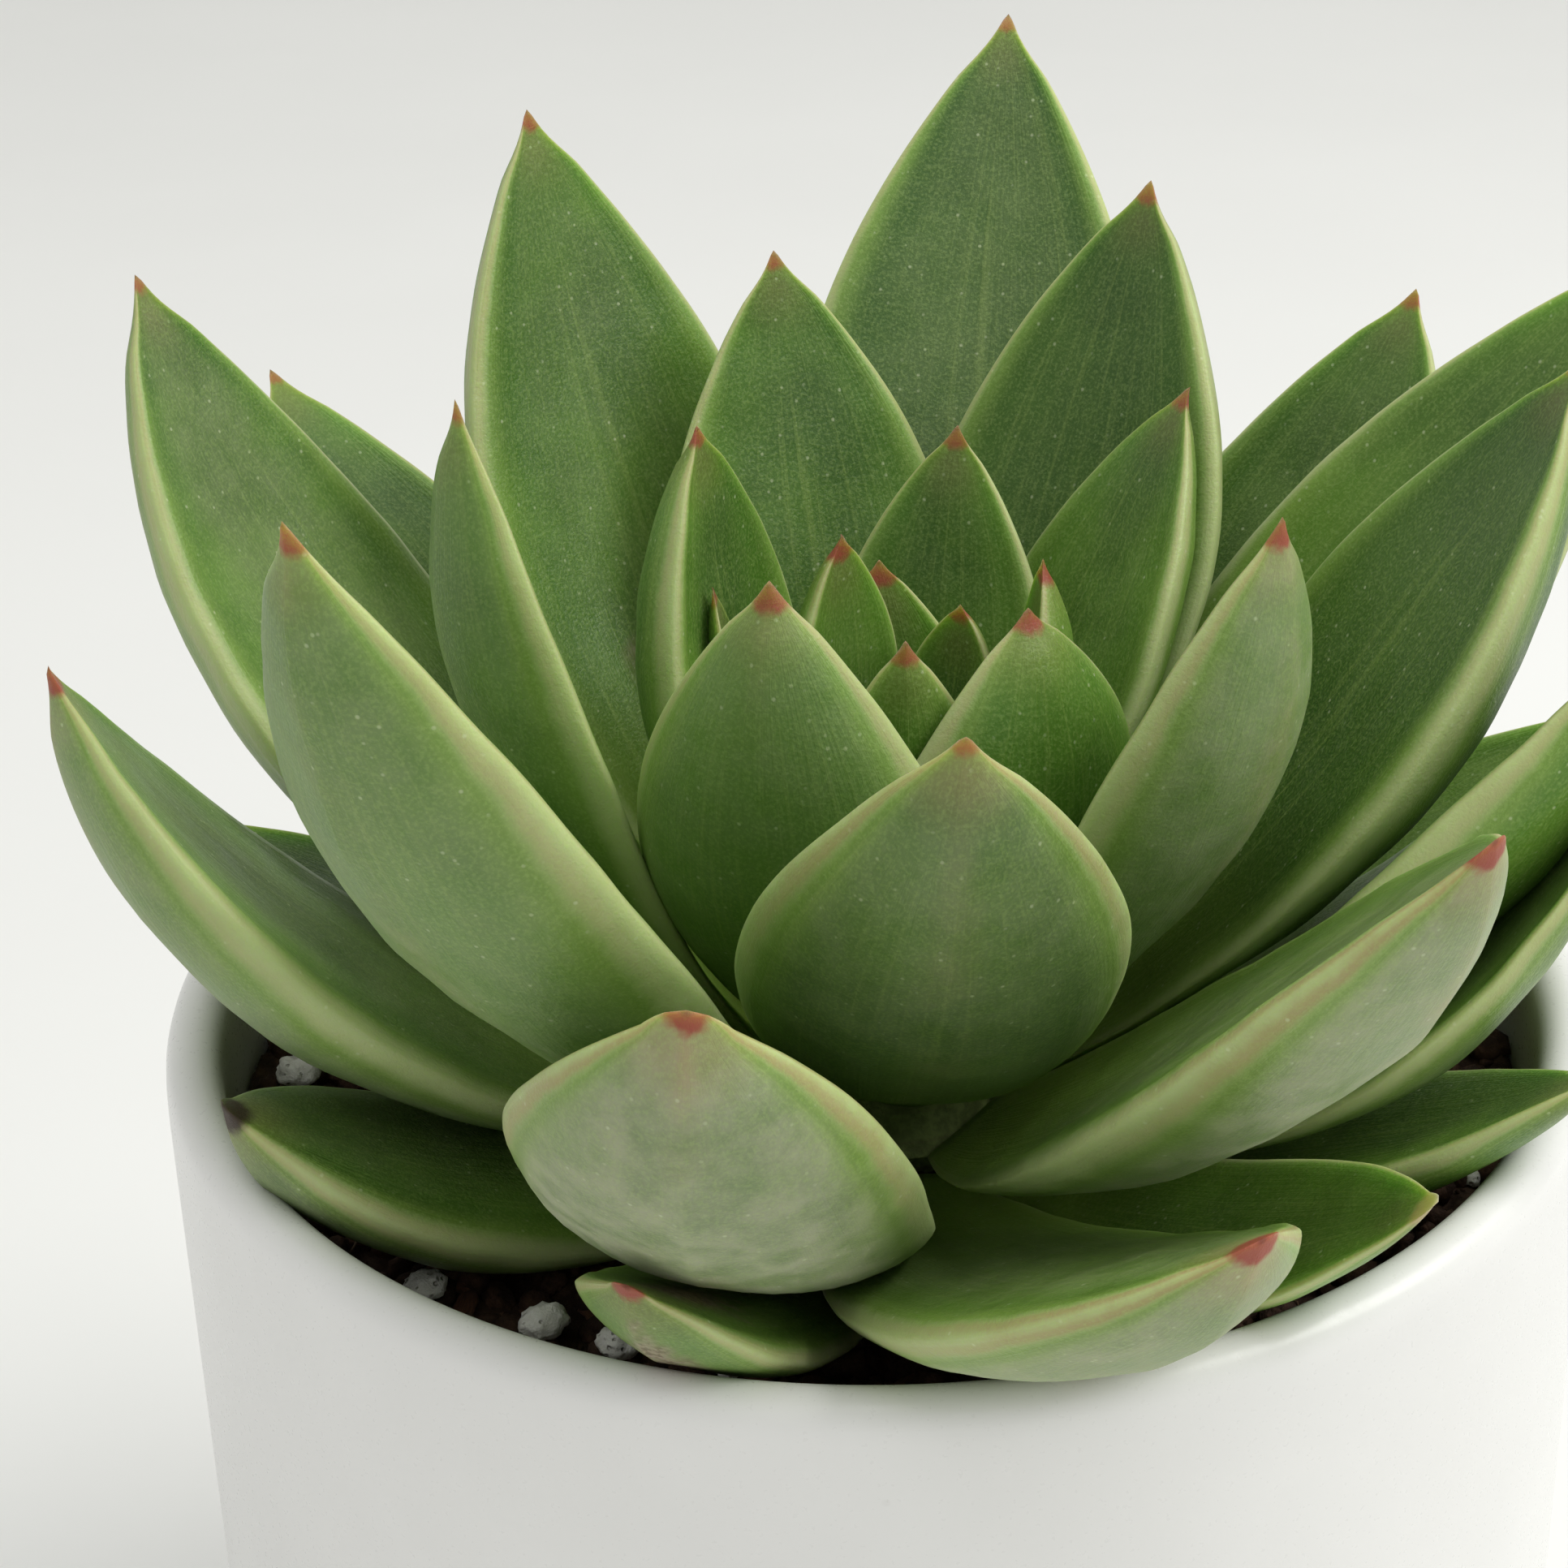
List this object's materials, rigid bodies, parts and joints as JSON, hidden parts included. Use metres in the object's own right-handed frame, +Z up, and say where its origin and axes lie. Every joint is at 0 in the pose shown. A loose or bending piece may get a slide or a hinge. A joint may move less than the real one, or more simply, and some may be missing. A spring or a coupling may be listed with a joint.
{
  "type": "potted succulent",
  "caption": "Rosette of fleshy pointed green leaves with red tips on a short stem, growing in dark soil in a plain round white glazed pot.",
  "frame": {"origin": "centre of the pot's flat bottom, on the pot's axis", "axes": "+Z up along the pot's axis; -Y is the front of the plant; +X is its right-hand side seen from the front"},
  "size_m": [0.1061, 0.1164, 0.1409],
  "materials": {
    "pot_glaze": "satin glaze",
    "soil": "moist crumbly potting soil",
    "stem": "matte bark",
    "leaf_inner": "waxy fleshy leaf",
    "leaf_middle": "waxy fleshy leaf",
    "leaf_outer": "waxy fleshy leaf with grey bloom",
    "perlite": "matte porous grain"
  },
  "bodies": {
    "root": {"leaf_01": "leaf_inner", "leaf_02": "leaf_inner", "leaf_03": "leaf_inner", "leaf_04": "leaf_inner", "leaf_06": "leaf_inner", "leaf_08": "leaf_inner", "leaf_10": "leaf_inner", "leaf_14": "leaf_inner", "leaf_15": "leaf_inner", "leaf_16": "leaf_inner", "leaf_17": "leaf_inner", "leaf_18": "leaf_inner", "leaf_19": "leaf_middle", "leaf_20": "leaf_middle", "leaf_21": "leaf_middle", "leaf_22": "leaf_middle", "leaf_23": "leaf_middle", "leaf_24": "leaf_middle", "leaf_25": "leaf_middle", "leaf_26": "leaf_middle", "leaf_27": "leaf_middle", "leaf_28": "leaf_middle", "leaf_29": "leaf_middle", "leaf_30": "leaf_middle", "leaf_31": "leaf_middle", "leaf_33": "leaf_middle", "leaf_34": "leaf_middle", "leaf_36": "leaf_outer", "leaf_37": "leaf_outer", "leaf_38": "leaf_outer", "leaf_39": "leaf_outer", "leaf_40": "leaf_outer", "leaf_41": "leaf_outer", "leaf_46": "leaf_outer", "leaf_47": "leaf_outer", "leaf_48": "leaf_outer", "leaf_49": "leaf_outer", "leaf_50": "leaf_outer", "leaf_51": "leaf_outer", "perlite_1": "perlite", "perlite_2": "perlite", "perlite_3": "perlite", "perlite_4": "perlite", "pot": "pot_glaze", "soil": "soil", "stem": "stem"}
  },
  "joints": []
}
